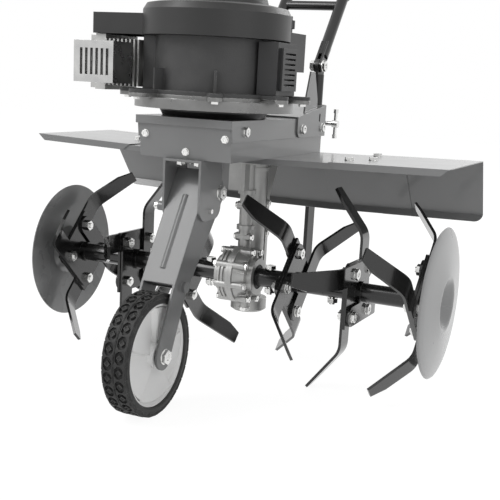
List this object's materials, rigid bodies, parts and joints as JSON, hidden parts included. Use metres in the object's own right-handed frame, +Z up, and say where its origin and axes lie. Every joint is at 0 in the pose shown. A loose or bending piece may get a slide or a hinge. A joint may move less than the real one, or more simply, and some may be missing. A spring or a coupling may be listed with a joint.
{
  "type": "garden tiller",
  "caption": "Front-tine garden tiller with a belt case, worm gearbox, bent tines, side discs, guard, front wheel, engine and handlebar.",
  "frame": {"origin": "middle of the bounding box, on the ground", "axes": "+Z up, +Y from the front wheel toward the handlebar, +X across the machine to the right of someone who looks from the front wheel toward the handlebar"},
  "size_m": [0.792, 1.0714, 0.951],
  "materials": {
    "grey_paint": "satin",
    "black_paint": "gloss",
    "zinc_steel": "satin",
    "plain_steel": "satin",
    "cast_alloy": "cast",
    "dark_cast": "satin",
    "bronze": "satin",
    "iron": "matt",
    "soft_rubber": "matt",
    "tyre_rubber": "matt",
    "white_plastic": "matt",
    "black_plastic": "matt"
  },
  "bodies": {
    "chassis": {"upper_tray": "grey_paint", "belt_cover": "grey_paint", "case_bolts": "zinc_steel", "engine_mount_ring": "iron", "rear_bracket": "grey_paint", "handle_posts": "black_paint", "handle_bolts": "zinc_steel", "drag_bracket": "black_paint", "drag_screw": "zinc_steel", "tine_guard": "grey_paint", "guard_extension_left": "grey_paint", "guard_extension_right": "grey_paint", "guard_bolts": "zinc_steel", "wheel_bracket": "grey_paint", "arm_pivot_bolt": "zinc_steel", "wheel_lock_pin": "zinc_steel", "gearcase_left": "cast_alloy", "gearcase_right": "cast_alloy", "gearcase_bolts": "zinc_steel", "worm_bearings": "plain_steel", "output_bearings": "plain_steel", "output_seals": "soft_rubber", "drive_belt": "soft_rubber", "engine_sump": "cast_alloy", "engine_bolts": "zinc_steel", "crankcase": "dark_cast", "engine_cylinder": "cast_alloy", "muffler": "plain_steel", "air_cleaner": "black_plastic", "blower_housing": "black_plastic", "fuel_tank": "black_plastic"},
    "arm": {"wheel_arm": "grey_paint", "wheel_bush": "black_plastic", "wheel_axle_bolt": "zinc_steel"},
    "front_wheel": {"wheel_hub": "white_plastic", "tyre": "tyre_rubber"},
    "rotor": {"worm_wheel": "bronze", "output_shaft": "plain_steel", "inner_rotor_tubes": "black_paint", "outer_rotor_tubes": "black_paint", "rotor_pins": "zinc_steel", "inner_tines": "black_paint", "middle_tines": "black_paint", "outer_tines": "black_paint", "rotor_bolts": "zinc_steel", "disc_left": "grey_paint", "disc_right": "grey_paint"},
    "worm": {"worm_shaft": "plain_steel", "input_pulley": "iron"},
    "crank": {"crankshaft": "plain_steel", "flywheel": "iron", "drive_pulley": "iron"},
    "idler": {"idler_arm": "black_paint"},
    "idler_roller": {"idler_pulley": "black_plastic"},
    "depth_bar": {"drag_bar": "black_paint"},
    "cap": {"fuel_cap": "black_plastic"},
    "starter": {"starter_handle": "black_plastic"},
    "handle": {"handlebar": "black_paint", "hand_grips": "soft_rubber"},
    "lever": {"clutch_lever": "black_paint"}
  },
  "joints": [
    {"name": "rotor_spin", "type": "hinge", "parent": "chassis", "child": "rotor", "pos_m": [0, -0.10866, 0.176], "axis": [1, 0, 0], "continuous": true},
    {"name": "worm_spin", "type": "hinge", "parent": "chassis", "child": "worm", "pos_m": [0, -0.06567, 0.176], "axis": [0, 0, 1], "continuous": true},
    {"name": "crank_spin", "type": "hinge", "parent": "chassis", "child": "crank", "pos_m": [0, -0.24466, 0.468], "axis": [0, 0, 1], "continuous": true},
    {"name": "wheel_arm_swing", "type": "hinge", "parent": "chassis", "child": "arm", "pos_m": [0, -0.27666, 0.346], "axis": [1, 0, 0], "range_deg": [0, 14]},
    {"name": "wheel_spin", "type": "hinge", "parent": "arm", "child": "front_wheel", "pos_m": [0, -0.43567, 0.1], "axis": [1, 0, 0], "continuous": true},
    {"name": "handlebar_tilt", "type": "hinge", "parent": "chassis", "child": "handle", "pos_m": [0, 0.06933, 0.564], "axis": [1, 0, 0], "range_deg": [-20, 15]},
    {"name": "clutch_squeeze", "type": "hinge", "parent": "handle", "child": "lever", "pos_m": [-0.21487, 0.38381, 0.85487], "axis": [1, 0, 0], "range_deg": [0, 10], "stiffness_Nm_per_rad": 0.6, "springref_deg": -17.19},
    {"name": "idler_swing", "type": "hinge", "parent": "chassis", "child": "idler", "pos_m": [-0.066, -0.10067, 0.412], "axis": [0, 0, 1], "range_deg": [0, 10]},
    {"name": "idler_roller_spin", "type": "hinge", "parent": "idler", "child": "idler_roller", "pos_m": [-0.061, -0.15466, 0.428], "axis": [0, 0, 1], "continuous": true},
    {"name": "depth_bar_slide", "type": "slide", "parent": "chassis", "child": "depth_bar", "axis": [0, 0, 1], "range_m": [-0.09, 0.1]},
    {"name": "fuel_cap_twist", "type": "hinge", "parent": "chassis", "child": "cap", "pos_m": [0.04, -0.08467, 0.618], "axis": [0, 0, 1], "range_deg": [0, 90]},
    {"name": "starter_pull", "type": "slide", "parent": "chassis", "child": "starter", "axis": [0, 1, 0], "range_m": [0, 0.25], "stiffness_N_per_m": 20, "springref_m": -0.2}
  ],
  "couplings": [
    {"joint": "worm_spin", "follows": "rotor_spin", "ratio": 20},
    {"joint": "idler_swing", "follows": "clutch_squeeze", "ratio": 1}
  ]
}
